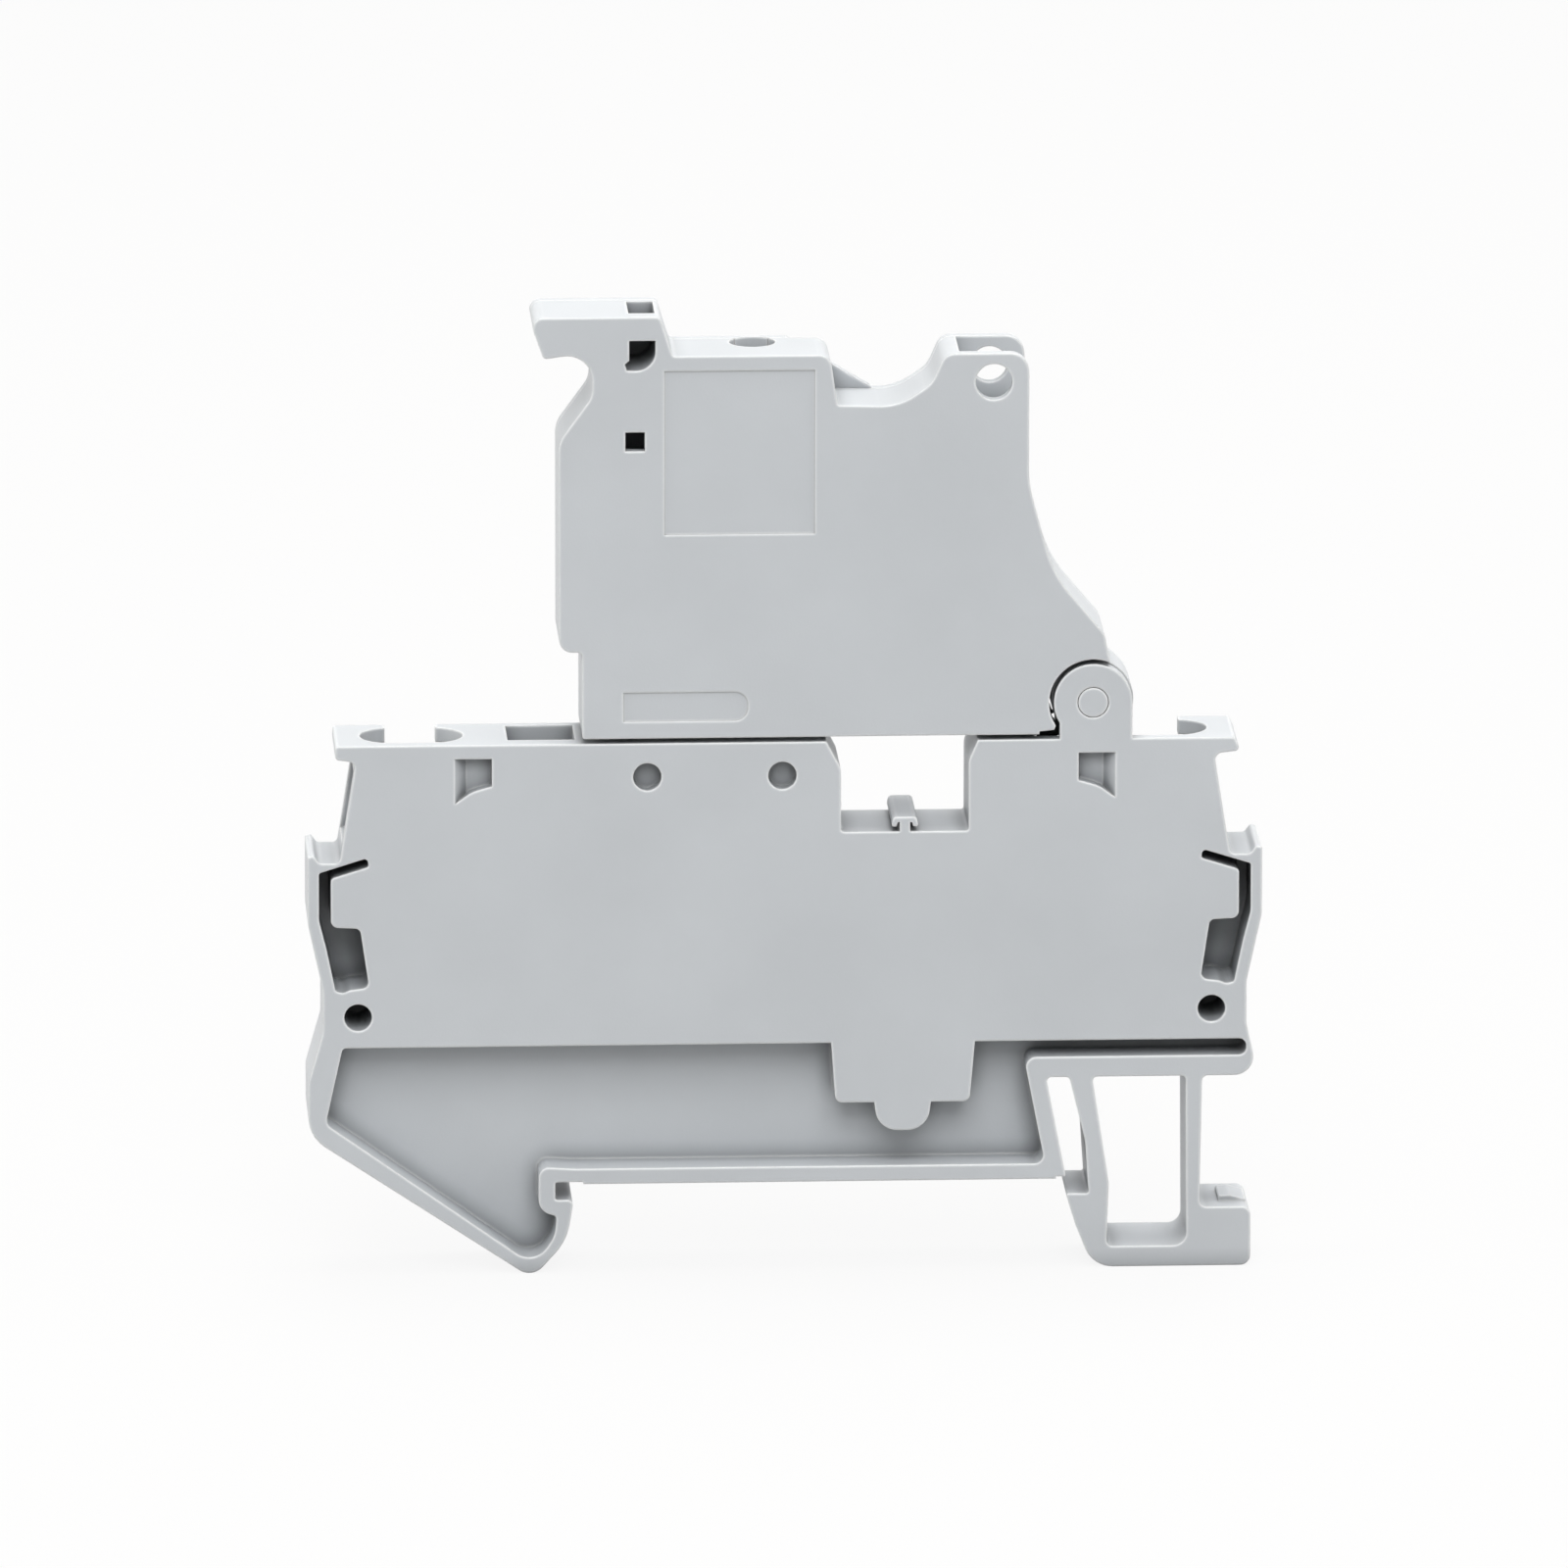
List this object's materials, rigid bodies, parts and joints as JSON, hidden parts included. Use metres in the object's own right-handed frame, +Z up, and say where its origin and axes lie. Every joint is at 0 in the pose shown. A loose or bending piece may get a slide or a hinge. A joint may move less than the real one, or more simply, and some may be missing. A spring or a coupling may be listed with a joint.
{
  "type": "fuse terminal block",
  "caption": "Narrow rail-mounted spring-cage fuse terminal block: light grey moulded base with rail jaw and springy foot, and a hinged lever that holds a glass fuse link.",
  "frame": {"origin": "middle of the seat that rests on the rail's top face, at half the block's thickness", "axes": "+X along the block towards the hinge end, +Y from the closed flat side to the open side, +Z up away from the rail"},
  "size_m": [0.0641, 0.0062, 0.0657],
  "materials": {
    "housing": "fine satin moulded polyamide, light grey",
    "lever": "fine satin moulded polyamide, light grey",
    "contact_metal": "tin-plated copper alloy, pale silver",
    "spring_steel": "bright spring steel",
    "fuse_glass": "clear glass tube",
    "fuse_cap": "nickel-plated cap",
    "solder": "dull solder",
    "fuse_wire": "thin drawn wire"
  },
  "bodies": {
    "base": {"base_housing": "housing", "left_busbar": "contact_metal", "right_busbar": "contact_metal", "left_cage_spring": "spring_steel", "right_cage_spring": "spring_steel", "fork_contact": "contact_metal", "fork_spring": "spring_steel", "hinge_contact": "contact_metal"},
    "lever": {"lever_housing": "lever", "lever_cover": "lever", "left_fuse_clip": "contact_metal", "right_fuse_clip": "contact_metal", "fuse_tube": "fuse_glass", "fuse_cap_left": "fuse_cap", "fuse_cap_right": "fuse_cap", "fuse_solder_left": "solder", "fuse_solder_right": "solder", "fuse_wire": "fuse_wire"}
  },
  "joints": [
    {"name": "lever_pivot", "type": "hinge", "parent": "base", "child": "lever", "pos_m": [0.01826, 0, 0.0329], "axis": [0, 1, 0], "range_deg": [0, 95]}
  ]
}
